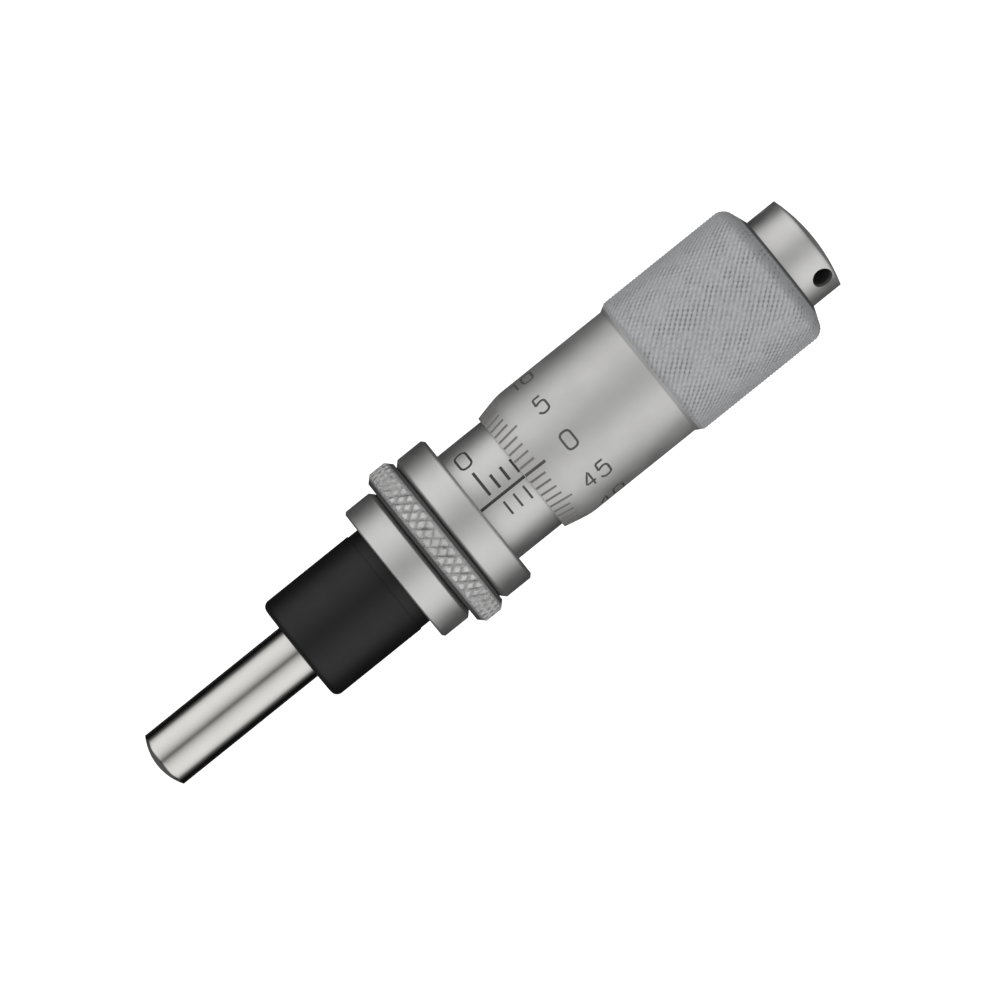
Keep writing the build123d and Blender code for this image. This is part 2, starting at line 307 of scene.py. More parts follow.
def spread(tree, value, low, high, to_low=0.0, to_high=1.0):
    """The result of one clamped Map Range node."""
    links = {"Value": value, "From Min": low, "From Max": high, "To Min": to_low, "To Max": to_high}
    return add(tree, "MapRange", links).outputs["Result"]


def turned_marks_group():
    """Fine rings that a lathe or grinder leaves round the measuring axis."""
    group, given, gives = node_group("Turned marks", ("Height", "Wear"), Pitch=0.1, Unevenness=0.5)
    place = object_place(group)
    along = add(group, "SeparateXYZ", {0: place}).outputs["X"]
    lines = math(group, "DIVIDE", math(group, "DIVIDE", along, MM), given["Pitch"])
    rings = add(group, "TexNoise", {"W": lines, "Scale": 1.0, "Detail": 2.0}, noise_dimensions="1D")
    broad = noise(group, place, 420.0, 3.0)
    strength = math(group, "ADD", 1.0, swing(group, broad, given["Unevenness"]))
    group.links.new(math(group, "MULTIPLY", rings.outputs["Fac"], strength), gives["Height"])
    group.links.new(broad, gives["Wear"])


def satin_grain_group():
    """The even fine grain of a satin plated or blasted surface."""
    group, given, gives = node_group("Satin grain", ("Height", "Tone"), Size=0.06)
    place = object_place(group)
    cloud = noise(group, place, 160.0, 4.0, Roughness=0.6)
    group.links.new(noise(group, place, math(group, "DIVIDE", 1.0 / MM, given["Size"]), 1.0), gives["Height"])
    group.links.new(spread(group, cloud, 0.35, 0.65), gives["Tone"])


def groove_depth_group():
    """How deep a point lies under the crests of a knurled cylinder: 1 in the grooves, uneven by Tear.

    Below goes from 0 at Low to 1 at Lowest, both counted in depths of the grooves.
    """
    group, given, gives = node_group(
        "Groove depth", ("Groove", "Below"), Crest=6.5, Depth=0.12, Tear=0.2, Low=1.0, Lowest=2.0
    )
    place = object_place(group)
    flat = vector_math(group, "MULTIPLY", place, (0.0, 1.0 / MM, 1.0 / MM))
    radius = vector_math(group, "LENGTH", flat, output="Value")
    share = math(group, "DIVIDE", math(group, "SUBTRACT", given["Crest"], radius), given["Depth"])
    torn = noise(group, vector_math(group, "MULTIPLY", place, (0.45, 1.0, 1.0)), 6500.0, 2.0)
    uneven = math(group, "ADD", share, swing(group, torn, given["Tear"]))
    group.links.new(spread(group, uneven, 0.0, 1.0), gives["Groove"])
    group.links.new(spread(group, share, given["Low"], given["Lowest"]), gives["Below"])


def knurl_lines_group():
    """One set of slanting grooves round the measuring axis, uneven and broken by Tear: 1 in the grooves."""
    values = {"Teeth": 50.0, "Lead": 1.0, "From": 0.0, "Width": 0.14, "Tear": 0.3}
    group, given, gives = node_group("Knurl lines", ("Line",), **values)
    place = object_place(group)
    parts = add(group, "SeparateXYZ", {0: place}).outputs
    turns = math(group, "DIVIDE", math(group, "ARCTAN2", parts["Y"], parts["Z"]), 2 * pi)
    along = math(group, "SUBTRACT", math(group, "DIVIDE", parts["X"], MM), given["From"])
    phase = math(group, "MULTIPLY", turns, given["Teeth"])
    phase = math(group, "ADD", phase, math(group, "MULTIPLY", along, given["Lead"]))
    shift = swing(group, noise(group, place, 2600.0, 2.0), given["Tear"])
    off = math(group, "PINGPONG", math(group, "ADD", phase, shift), 0.5)
    line = spread(group, off, 0.0, given["Width"], 1.0, 0.0)
    strength = spread(group, noise(group, place, 700.0, 3.0), 0.38, 0.60, 0.1, 1.0)
    group.links.new(math(group, "MULTIPLY", line, strength), gives["Line"])


def use_group(tree, name, **values):
    """The outputs of a node group that is placed in a material with its own values."""
    return add(tree, "Group", values, node_tree=bpy.data.node_groups[name]).outputs


def metal(name, base, roughness, metallic=1.0, specular=0.5):
    """A new material: its node tree and its shader."""
    material = bpy.data.materials.new(name)
    material.use_nodes = True
    material.diffuse_color = (*base, 1)
    shader = material.node_tree.nodes["Principled BSDF"]
    shader.inputs["Base Color"].default_value = (*base, 1)
    shader.inputs["Roughness"].default_value = roughness
    shader.inputs["Metallic"].default_value = metallic
    shader.inputs["Specular IOR Level"].default_value = specular
    return material.node_tree, shader


def shade(base, factor):
    """A colour made darker or lighter."""
    return tuple(min(1.0, c * factor) for c in base)


def overlay(tree, shader, mask, base, tone, below=None):
    """A tone of the base colour laid by a mask over the colour below, or over what is there."""
    below = below or shader.inputs["Base Color"].links[0].from_socket
    mix = add(tree, "Mix", {0: mask, 6: below, 7: (*shade(base, tone), 1)}, data_type="RGBA")
    tree.links.new(mix.outputs[2], shader.inputs["Base Color"])


def tint(tree, shader, mask, base, low, high):
    """Base colour from its low tone to its high tone, by a mask."""
    overlay(tree, shader, mask, base, high, (*shade(base, low), 1))


def roughen(tree, shader, mask, low, high, smooth, rough):
    """Roughness from smooth to rough, as a mask goes from low to high."""
    tree.links.new(spread(tree, mask, low, high, smooth, rough), shader.inputs["Roughness"])


def bump(tree, shader, height, millimetres):
    """Small relief; a height of 1 is this many millimetres."""
    node = add(tree, "Bump", {"Distance": millimetres * MM, "Height": height})
    tree.links.new(node.outputs["Normal"], shader.inputs["Normal"])


def satin_chrome(name, base, roughness):
    """Satin plated chrome with faint turning under it."""
    tree, shader = metal(name, base, roughness)
    grain = use_group(tree, "Satin grain", Size=0.05)
    marks = use_group(tree, "Turned marks", Pitch=0.09, Unevenness=0.6)
    tint(tree, shader, grain["Tone"], base, 0.965, 1.02)
    roughen(tree, shader, marks["Wear"], 0.3, 0.7, roughness * 0.93, roughness * 1.07)
    height = math(tree, "ADD", math(tree, "MULTIPLY", marks["Height"], 0.6), grain["Height"])
    bump(tree, shader, height, 0.0012)


def knurled_chrome(name, base, dullness, tones, tear, dots, lines, **reach):
    """Dull chrome on a knurl with torn crests and painted shade. tones: crest, painted shade in the grooves,
    painted shade along one set of grooves, and painted shade far below the crests.

    dots is how much the painted shade lines break into dots where the other set of grooves crosses them.
    """
    crest, low, line_shade, below_shade = tones
    tree, shader = metal(name, shade(base, crest), 0.5, 1 - dullness)
    grain = use_group(tree, "Satin grain", Size=0.08)
    groove = use_group(tree, "Groove depth", **reach)
    line = use_group(tree, "Knurl lines", **lines)
    crossing = use_group(tree, "Knurl lines", **{**lines, "Lead": -lines["Lead"], "Width": 0.4})
    broken = spread(tree, crossing["Line"], 0.1, 0.7, 1 - dots, 1.0)
    # Painted shade: darker in the grooves, along one set of grooves, and far below the crests
    tint(tree, shader, groove["Groove"], base, crest, low)
    overlay(tree, shader, math(tree, "MULTIPLY", line["Line"], broken), base, line_shade)
    overlay(tree, shader, groove["Below"], base, below_shade)
    roughen(tree, shader, groove["Groove"], 0.0, 1.0, 0.47, 0.6)
    torn = noise(tree, object_place(tree), 5200.0, 3.0)
    height = math(tree, "ADD", math(tree, "MULTIPLY", grain["Height"], 0.003 / tear), torn)
    bump(tree, shader, height, tear)


def turned_metal(name, base, roughness, pitch, relief, uneven=0.5):
    """Metal left as a lathe or grinder left it."""
    tree, shader = metal(name, base, roughness)
    marks = use_group(tree, "Turned marks", Pitch=pitch, Unevenness=uneven)
    tint(tree, shader, marks["Wear"], base, 0.94, 1.04)
    roughen(tree, shader, marks["Wear"], 0.3, 0.7, roughness * 0.85, roughness * 1.15)
    bump(tree, shader, marks["Height"], relief)
    return tree, shader


def cap_chrome(base):
    """Fine turned chrome, with shade painted dark and matt inside the spanner hole."""
    tree, shader = turned_metal("turned_cap", base, 0.47, 0.10, 0.0012)
    hole = bpy.context.scene.micrometer_hole
    low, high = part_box("thimble_cap")
    away = (0, cos(hole.angle), sin(hole.angle))
    from_middle = vector_math(tree, "SUBTRACT", object_place(tree), (low.x + hole.from_end, 0, 0))
    beside = vector_math(tree, "CROSS_PRODUCT", from_middle, away)
    beside = vector_math(tree, "LENGTH", beside, output="Value")
    height = vector_math(tree, "DOT_PRODUCT", from_middle, away, "Value")
    within = math(tree, "LESS_THAN", beside, hole.radius + hole.margin)
    deep = spread(tree, height, high.y - hole.fall, high.y - hole.lip, 1.0, 0.0)
    # Painted shade: inside the hole the chrome is darkened to 0.08 of its colour and made matt
    hole_shade = math(tree, "MULTIPLY", within, deep)
    overlay(tree, shader, hole_shade, base, 0.08)
    tree.links.new(math(tree, "SUBTRACT", 1.0, hole_shade), shader.inputs["Metallic"])


def black_oxide(base):
    """Semi-gloss black surface with a fine turned texture."""
    tree, shader = metal("black_stem", base, 0.44, 0.0, 0.51)
    grain = use_group(tree, "Satin grain", Size=0.07)
    marks = use_group(tree, "Turned marks", Pitch=0.12, Unevenness=0.5)
    tint(tree, shader, grain["Tone"], base, 0.85, 1.15)
    roughen(tree, shader, marks["Wear"], 0.3, 0.7, 0.42, 0.50)
    bump(tree, shader, math(tree, "ADD", marks["Height"], grain["Height"]), 0.0015)


def scale_paint(name, base):
    """Matt paint worked into an engraved line, slightly uneven."""
    tree, shader = metal(name, base, 0.6, 0.0, 0.3)
    grain = use_group(tree, "Satin grain", Size=0.09)
    tint(tree, shader, grain["Tone"], base, 0.8, 1.35)
    bump(tree, shader, grain["Height"], 0.002)


def build_materials():
    """Makes the shared node groups and every finish of the head."""
    turned_marks_group()
    satin_grain_group()
    groove_depth_group()
    knurl_lines_group()
    finish = bpy.context.scene.micrometer_finish
    thimble = bpy.context.scene.micrometer_thimble
    grip_shade_lines = {"Teeth": thimble.knurl_teeth, "Lead": -MM / thimble.knurl_pitch, "Width": 0.26, "Tear": 0.4}
    grip_shade_lines["From"] = knurl_front(thimble) / MM
    ring_shade_lines = {"Teeth": 50.0, "Lead": 0.853, "Width": 0.15, "Tear": 0.8}
    ring_shade_lines["From"] = (RING_LOW.x + RING_HIGH.x) / 2 / MM
    satin_chrome("satin_plate", finish.chrome, 0.445)
    satin_chrome("satin_thimble", finish.chrome, 0.55)
    # Grip: painted shade in its grooves, along one set of grooves, and on its end cone where it meets the cap
    knurled_chrome(
        "knurled_grip", finish.grip, 0.65, (1.03, 0.78, 0.30, 0.14), 0.07, 0.75, grip_shade_lines,
        Crest=THIMBLE_HIGH.y / MM, Depth=0.13, Tear=2.2, Low=10.0, Lowest=12.5,
    )
    # Ring: painted shade in its grooves, along one set of grooves, and on its chamfers
    knurled_chrome(
        "knurled_ring", finish.ring, 0.25, (1.12, 0.86, 0.34, 0.24), 0.06, 0.3, ring_shade_lines,
        Crest=RING_HIGH.y / MM, Depth=0.24, Tear=2.4, Low=0.95, Lowest=1.25,
    )
    cap_chrome(finish.cap)
    turned_metal("ground_spindle", finish.spindle, 0.15, 0.03, 0.0004, 0.8)
    turned_metal("turned_core", finish.steel, 0.30, 0.16, 0.004)
    turned_metal("hardened_pin", finish.hard, 0.20, 0.05, 0.001)
    turned_metal("turned_brass", finish.brass, 0.28, 0.12, 0.003)
    # Painted shade: steel at a tenth of its colour, for the flanges' surfaces in the gap by the lock ring
    turned_metal("oiled_steel", shade(finish.steel, 0.1), 0.5, 0.12, 0.002)
    black_oxide(finish.black)
    scale_paint("scale_paint", finish.paint)
    scale_paint("worn_paint", finish.worn_paint)
    scale_paint("soft_paint", finish.soft_paint)


# Turned pieces and engraved lines


def merge(shape):
    """Joins the points of a bmesh that are one."""
    bmesh.ops.remove_doubles(shape, verts=shape.verts[:], dist=SAME)


def linked(name, mesh, materials):
    """An object with a finished mesh and its materials, in the scene."""
    for material in materials:
        mesh.materials.append(bpy.data.materials[material])
    piece = bpy.data.objects.new(name, mesh)
    bpy.context.scene.collection.objects.link(piece)
    return piece


def new_piece(name, mesh, materials, body):
    """A finished mesh as a piece that rides on a body."""
    piece = linked(name, mesh, materials)
    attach(piece, body)
    return piece


def rounded_outline(corners):
    """A closed wire of (x, radius, fillet radius) corners, with its corners rounded."""
    shape = bmesh.new()
    points = [shape.verts.new((x, 0, r)) for x, r, fillet in corners]
    for first, second in zip(points, points[1:] + points[:1]):
        shape.edges.new((first, second))
    turns = []
    for i, point in enumerate(points):
        before = points[i - 1].co - point.co
        after = points[(i + 1) % len(points)].co - point.co
        turns.append(pi - before.angle(after))
    for point, turn, (x, r, fillet) in zip(points, turns, corners):
        if fillet > 0:
            bmesh.ops.bevel(
                shape, geom=[point], offset=fillet * tan(turn / 2), offset_type="OFFSET", affect="VERTICES",
                segments=max(3, round(fillet * turn / ROUND_STEP)), profile=0.5, material=-1,
            )
    return shape


def spin_outline(shape, steps):
    """Spins a wire once about the measuring axis, and points the faces outwards."""
    bmesh.ops.spin(
        shape, geom=shape.verts[:] + shape.edges[:], cent=(0, 0, 0), axis=(1, 0, 0),
        dvec=(0, 0, 0), angle=2 * pi, steps=steps, use_merge=True, use_normal_flip=False,
    )
    bmesh.ops.recalc_face_normals(shape, faces=shape.faces[:])


def finished_mesh(shape, name, sharp_angle=radians(28)):
    """A mesh from a bmesh: smooth, with its corners kept sharp."""
    for face in shape.faces:
        face.smooth = True
    for edge in shape.edges:
        edge.smooth = len(edge.link_faces) == 2 and edge.calc_face_angle(0) < sharp_angle
    mesh = bpy.data.meshes.new(name)
    shape.to_mesh(mesh)
    shape.free()
    return mesh


def surface_of(mesh):
    """A search tree of a mesh, to seat lines on it."""
    shape = bmesh.new()
    shape.from_mesh(mesh)
    tree = BVHTree.FromBMesh(shape)
    shape.free()
    return tree


def seat(shape, surface):
    """Wraps flat work round the axis and seats it on a surface.

    Flat work has x along the axis, y round it from the index line towards the -Y side, and z as height.
    """
    for vert in shape.verts:
        x, arc, height = vert.co
        angle = arc / wrap_radius(surface, x)
        outward = Vector((0, -sin(angle), cos(angle)))
        hit = surface.ray_cast(Vector((x, 0, 0)) + outward * OUTSIDE, -outward, REACH)[0]
        if hit is None:
            raise RuntimeError(f"no surface under the scale at {x:.5f}")
        vert.co = hit + outward * height


def wrap_radius(surface, x):
    """The surface's radius at x, measured at the top."""
    return surface.ray_cast(Vector((x, 0, OUTSIDE)), Vector((0, 0, -1)), REACH)[0].z


def engraved_line(shape, start, end, width):
    """One flat line between two points of the flat work, sunk as deep as its paint stands out."""
    relief = bpy.context.scene.micrometer_scale.relief
    start, end = Vector((*start, 0)), Vector((*end, 0))
    run = end - start
    steps = max(1, round(run.length / LINE_STEP))
    turn = Matrix.Rotation(atan2(run.y, run.x), 4, "Z")
    place = Matrix.Translation((start + end) / 2) @ turn @ Matrix.Diagonal((run.length, width, 2 * relief, 1))
    made = bmesh.ops.create_cube(shape, size=1, matrix=place)
    edges = dict.fromkeys(edge for vert in made["verts"] for edge in vert.link_edges)
    along = [edge for edge in edges if abs(edge.calc_length() - run.length) < SAME]
    bmesh.ops.subdivide_edges(shape, edges=along, cuts=steps, use_grid_fill=True)


def relief_piece(name, shape, surface, material, body):
    """Seats flat work on a surface and makes it a piece."""
    seat(shape, surface)
    bmesh.ops.recalc_face_normals(shape, faces=shape.faces[:])
    return new_piece(name, finished_mesh(shape, name), [material], body)


# Strokes of plain numerals, one unit high: order of the spline, whether it closes, and its points
NUMERALS = {
    "0": (0.62, [(3, True, [(0, 0), (0.62, 0), (0.62, 0.5), (0.62, 1), (0, 1), (0, 0.5)])]),
    "1": (0.30, [(2, False, [(0, 0.80), (0.20, 1), (0.20, 0)])]),
    "2": (0.60, [
        (3, False, [(0.02, 0.74), (0.02, 1), (0.31, 1), (0.60, 1), (0.60, 0.60), (0.30, 0.34), (0.02, 0)]),
        (2, False, [(0.02, 0), (0.61, 0)]),
    ]),
    "3": (0.60, [
        (3, False, [(0.02, 0.86), (0.08, 1), (0.56, 1.06), (0.56, 0.56), (0.22, 0.55)]),
        (3, False, [(0.22, 0.55), (0.61, 0.55), (0.64, -0.03), (0.10, -0.03), (0, 0.17)]),
    ]),
    "4": (0.60, [(2, False, [(0.45, 0), (0.45, 1), (0, 0.26), (0.60, 0.26)])]),
    "5": (0.62, [
        (2, False, [(0.55, 1), (0.10, 1), (0.06, 0.56)]),
        (3, False, [(0.06, 0.56), (0.3, 0.68), (0.62, 0.64), (0.62, 0.3), (0.6, 0), (0.1, -0.06), (0, 0.16)]),
    ]),
}
NUMERAL_SPACE = 0.30


def numeral_width(text):
    """The width of some numerals, one unit high."""
    return sum(NUMERALS[digit][0] for digit in text) + NUMERAL_SPACE * (len(text) - 1)


def write_numerals(curve, text, middle, height):
    """Adds the strokes of a number to a flat curve, centred on a point of the flat work."""
    left = -numeral_width(text) / 2
    for digit in text:
        width, strokes = NUMERALS[digit]
        for order, closed, points in strokes:
            spline = curve.splines.new("NURBS")
            spline.points.add(len(points) - 1)
            for point, (u, v) in zip(spline.points, points):
                point.co = (middle[0] - (left + u) * height, middle[1] + (v - 0.5) * height, 0, 1)
            spline.order_u = order
            spline.use_endpoint_u = not closed
            spline.use_cyclic_u = closed
            spline.resolution_u = 6 if order > 2 else 4
        left += width + NUMERAL_SPACE


def numerals_piece(name, labels, height, surface, material, body):
    """Numbers as flat strokes seated on a surface. labels holds a text and its middle for each."""
    sizes = bpy.context.scene.micrometer_scale
    stroke_radius = sizes.stroke_width / 2
    curve = bpy.data.curves.new(name, "CURVE")
    curve.dimensions = "3D"
    curve.bevel_depth = stroke_radius
    curve.bevel_resolution = 2
    curve.use_fill_caps = True
    for text, middle in labels:
        write_numerals(curve, text, middle, height)
    holder = bpy.data.objects.new(name, curve)
    flat = bpy.data.meshes.new_from_object(holder)
    shape = bmesh.new()
    shape.from_mesh(flat)
    bpy.data.objects.remove(holder)
    bpy.data.meshes.remove(flat)
    merge(shape)
    bmesh.ops.scale(shape, vec=(1, 1, sizes.relief / stroke_radius), verts=shape.verts[:])
    return relief_piece(name, shape, surface, material, body)


class MICROMETER_OT_finishes(Operator):
    """Give every solid of the head its finish"""

    bl_idname = "micrometer.finishes"
    bl_label = "Finish the solids"

    def execute(self, context):
        build_materials()
        for finish, nodes in {
            "ground_spindle": ["spindle"],
            "black_stem": ["stem"],
            "satin_plate": ["front_flange", "rear_flange", "outer_sleeve"],
            "knurled_ring": ["lock_ring"],
            "satin_thimble": ["thimble"],
            "turned_cap": ["thimble_cap"],
            "turned_brass": ["clamp_collar"],
            "hardened_pin": ["collar_key", "lock_roller"],
            "turned_core": ["inner_sleeve", "adjusting_nut"],
        }.items():
            for node in nodes:
                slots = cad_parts[node].data.materials
                slots.clear()
                slots.append(bpy.data.materials[finish])
        return {"FINISHED"}


class MICROMETER_OT_stem(Operator):
    """Turn the clamping stem with its rounded rim"""

    bl_idname = "micrometer.stem"
    bl_label = "Turn the stem"

    steps = 192

    def execute(self, context):
        sizes = context.scene.micrometer_stem
        front_x, rear_x, radius = STEM_HIGH.x, STEM_LOW.x, STEM_HIGH.y
        relief_r = radius - sizes.relief_depth
        shape = rounded_outline([
            (front_x, sizes.bore, sizes.mouth_round),
            (front_x, radius, sizes.rim_round),
            (sizes.relief_length, radius, sizes.relief_round),
            (sizes.relief_length, relief_r, 0),
            (-sizes.shoulder, relief_r, 0),
            (-sizes.shoulder, sizes.spigot, 0),
            (rear_x, sizes.spigot, 0),
            (rear_x, sizes.bore, 0),
        ])
        spin_outline(shape, self.steps)
        mesh = finished_mesh(shape, "stem_body")
        piece = new_piece("stem_body", mesh, ["black_stem"], "barrel")
        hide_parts("stem")
        return {"FINISHED"}


class MICROMETER_OT_rims(Operator):
    """Soften the rims of the flanges, the tip and the end cap"""

    bl_idname = "micrometer.rims"
    bl_label = "Soften the rims"

    # A face whose normal has this much of the axis in it looks that way
    facing = 0.08
    # A dome lies within this share of its radius from its end, and its pole faces straight out
    dome = 0.3
    pole = 0.1

    def execute(self, context):
        sizes = context.scene.micrometer_rims
        corner, inner = sizes.corner_lean, sizes.inner_lean
        for name, rims in (("front_flange", ((1, 0, inner), (-1, corner, inner))),
                           ("rear_flange", ((1, corner, inner), (-1, corner, inner)))):
            mesh, normals = self.merged_copy(name)
            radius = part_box(name)[1].y
            self.soften(mesh, normals, radius, rims)
            # Painted shade on the flanges' surfaces inside the lock
            self.mark_inside(mesh, radius - sizes.inside)
            piece = new_piece(f"{name}_body", mesh, ["satin_plate", "oiled_steel"], "barrel")
            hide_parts(name)
        for name, side, radius, finish, body, slot in (
            ("spindle", 1, sizes.tip_radius, "ground_spindle", "spindle", "ground_steel"),
            ("thimble_cap", -1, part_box("thimble_cap")[1].y, "turned_cap", "thimble", "bright_chrome"),
        ):
            mesh, normals = self.merged_copy(name)
            self.soften_dome(mesh, normals, radius, side, sizes.dome_share)
            piece = new_piece(f"{name}_body", mesh, [finish], body)
            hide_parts(name)
        return {"FINISHED"}

    def merged_copy(self, node):
        """A copy of a solid's mesh with its loose triangles joined, and the normals of their corners."""
        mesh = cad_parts[node].data.copy()
        kept = mesh.attributes.new("kept_normal", "FLOAT_VECTOR", "CORNER")
        kept.data.foreach_set("vector", [part for corner in mesh.corner_normals for part in corner.vector])
        shape = bmesh.new()
        shape.from_mesh(mesh)
        merge(shape)
        shape.to_mesh(mesh)
        shape.free()
        kept = mesh.attributes["kept_normal"]
        normals = [Vector(corner.vector) for corner in kept.data]
        mesh.attributes.remove(kept)
        mesh.materials.clear()
        return mesh, normals

    def soften(self, mesh, normals, radius, rims):
        """Shades rims as rounds. rims holds a side, and the lean at the corner and at the inner edge."""
        for face in mesh.polygons:
            reach = [hypot(*mesh.vertices[i].co.yz) for i in face.vertices]
            if abs(max(reach) - radius) > NEAR:
                continue
            for side, corner_lean, inner_lean in rims:
                if side * face.normal.x < self.facing:
                    continue
                for i in face.loop_indices:
                    place = mesh.vertices[mesh.loops[i].vertex_index].co
                    at_corner = abs(hypot(*place.yz) - radius) < NEAR
                    lean = corner_lean if at_corner else inner_lean
                    around = Vector((0, place.y, place.z)).normalized()
                    normals[i] = around * cos(lean) + Vector((side * sin(lean), 0, 0))
        mesh.normals_split_custom_set(normals)

    def soften_dome(self, mesh, normals, radius, side, share):
        """Shades the outer part of an end's dome as if it ran round into the cylinder."""
        end_x = max(vert.co.x * side for vert in mesh.vertices) * side
        for face in mesh.polygons:
            if side * face.normal.x < self.facing or abs(face.center.x - end_x) > self.dome * radius:
                continue
            for i in face.loop_indices:
                place = mesh.vertices[mesh.loops[i].vertex_index].co
                reach = hypot(*place.yz)
                if reach > self.pole * radius:
                    around = Vector((0, place.y, place.z)).normalized()
                    inwards = min(1.0, (radius - reach) / (share * radius))
                    normals[i] = around.lerp(normals[i], inwards).normalized()
                else:
                    normals[i] = Vector((side, 0, 0))
        mesh.normals_split_custom_set(normals)

    def mark_inside(self, mesh, radius):
        """Gives the surfaces inside the lock a near-black finish: painted shade in the gap by the lock ring.
        """
        for face in mesh.polygons:
            reach = max(hypot(*mesh.vertices[i].co.yz) for i in face.vertices)
            by_ring = RING_LOW.x - BESIDE < face.center.x < RING_HIGH.x + BESIDE
            face.material_index = int(reach < radius and by_ring)


class MICROMETER_OT_thimble(Operator):
    """Turn the thimble and knurl its grip"""

    bl_idname = "micrometer.thimble"
    bl_label = "Turn and knurl the thimble"

    steps_per_tooth = 6

    def execute(self, context):
        sizes = context.scene.micrometer_thimble
        edge_x, end_x, grip_r = THIMBLE_HIGH.x, THIMBLE_LOW.x, THIMBLE_HIGH.y
        thimble_r = sizes.bore + sizes.wall
        edge_r = sizes.bore + sizes.edge_wall
        cone_x = edge_x - (thimble_r - edge_r) / tan(sizes.cone_angle)
        grip_x = end_x + sizes.grip_length
        crest_x = grip_x - sizes.step_run
        corner_x = end_x + (grip_r - sizes.end_face) * tan(sizes.end_angle)
        wall_x = end_x + sizes.end_wall
        shape = rounded_outline([
            (edge_x, sizes.bore, sizes.edge_round / 2),
            (edge_x, edge_r, sizes.edge_round),
            (cone_x, thimble_r, sizes.cone_round),
            (grip_x, thimble_r, sizes.step_foot),
            (crest_x, grip_r, sizes.step_round),
            (corner_x, grip_r, sizes.end_round),
            (end_x, sizes.end_face, sizes.seat_round),
            (end_x, sizes.taper_bore - sizes.taper_fall, 0),
            (wall_x, sizes.taper_bore, 0),
            (wall_x, sizes.bore, 0),
        ])
        row = sizes.knurl_pitch / self.steps_per_tooth
        for edge in shape.edges[:]:
            heights = [vert.co.z for vert in edge.verts]
            knurled = max(heights) > thimble_r + NEAR or edge.verts[0].co.x < corner_x
            if knurled and min(heights) > sizes.end_face - NEAR and edge.calc_length() > 2 * row:
                cuts = round(edge.calc_length() / row) - 1
                bmesh.ops.subdivide_edges(shape, edges=[edge], cuts=cuts)
        spin_outline(shape, sizes.knurl_teeth * self.steps_per_tooth)
        knurl_x = knurl_front(sizes)
        self.knurl(shape, sizes, knurl_x, corner_x, grip_r)
        for face in shape.faces:
            middle = face.calc_center_median()
            face.material_index = int(middle.x < knurl_x and hypot(*middle.yz) > sizes.end_face)
        mesh = finished_mesh(shape, "thimble_body", radians(40))
        piece = new_piece("thimble_body", mesh, ["satin_thimble", "knurled_grip"], "thimble")
        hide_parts("thimble")
        return {"FINISHED"}

    def knurl(self, shape, sizes, front_x, corner_x, grip_r):
        """Cuts two crossing sets of grooves into the grip, fading out at its ends."""
        shape.normal_update()
        setback = sizes.end_round * tan((pi / 2 - sizes.end_angle) / 2)
        rear_x = corner_x + setback
        centre_r = grip_r - sizes.end_round
        moves = []
        for vert in shape.verts:
            x, radius = vert.co.x, hypot(*vert.co.yz)
            if x > front_x or radius < grip_r - sizes.knurl_fall:
                continue
            run = front_x - x
            if x < rear_x:
                run = front_x - rear_x + sizes.end_round * atan2(rear_x - x, radius - centre_r)
            fade = min(1.0, run / sizes.front_fade)
            if x < rear_x:
                fade = max(0.0, 1.0 - (run - (front_x - rear_x)) / sizes.rear_fade) ** 0.5
            along = run / sizes.knurl_pitch
            around = atan2(vert.co.y, vert.co.z) / (2 * pi) * sizes.knurl_teeth
            first = groove(around + along, sizes.groove_half)
            second = sizes.cross_depth * groove(around - along, sizes.groove_half)
            depth = sizes.knurl_depth * fade * max(first, second)
            moves.append((vert, vert.normal * depth))
        for vert, move in moves:
            vert.co -= move


def knurl_front(sizes):
    """Where the grip's knurl starts, on the step up to the grip."""
    return THIMBLE_LOW.x + sizes.grip_length - sizes.knurl_start * sizes.step_run


def groove(phase, half):
    """The depth of a V groove with a narrow land, at a place counted in grooves."""
    return max(0.0, 1.0 - abs(phase - round(phase)) / half)


class MICROMETER_OT_main_scale(Operator):
    """Engrave the index line, the millimetres and their numerals on the sleeve"""

    bl_idname = "micrometer.main_scale"
    bl_label = "Engrave the main scale"

    def execute(self, context):
        sizes = context.scene.micrometer_scale
        surface = surface_of(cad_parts["outer_sleeve"].data)
        zero_x = FLANGE_REAR_X - sizes.zero_offset
        shape = bmesh.new()
        index_end = zero_x - sizes.stroke - sizes.index_past
        engraved_line(shape, (FLANGE_REAR_X, 0), (index_end, 0), sizes.index_width)
        relief_piece("index_line", shape, surface, "scale_paint", "barrel")
        shape, halves, labels = bmesh.new(), bmesh.new(), []
        for i in range(round(sizes.stroke / MM) + 1):
            x = zero_x - i * MM
            top = sizes.long_end if i % 5 == 0 else sizes.mark_end
            engraved_line(shape, (x, sizes.mark_gap), (x, top), sizes.mark_width)
            if i % 5 == 0:
                middle = sizes.long_end + sizes.numeral_gap + sizes.numeral_height / 2
                labels.append((str(i), (x, middle)))
            if i < sizes.stroke / MM:
                half_x = x - 0.5 * MM
                engraved_line(halves, (half_x, -sizes.mark_gap), (half_x, -sizes.mark_end), sizes.fine_width)
        relief_piece("sleeve_marks", shape, surface, "scale_paint", "barrel")
        relief_piece("sleeve_half_marks", halves, surface, "worn_paint", "barrel")
        numerals_piece("sleeve_numerals", labels, sizes.numeral_height, surface, "scale_paint", "barrel")
        return {"FINISHED"}


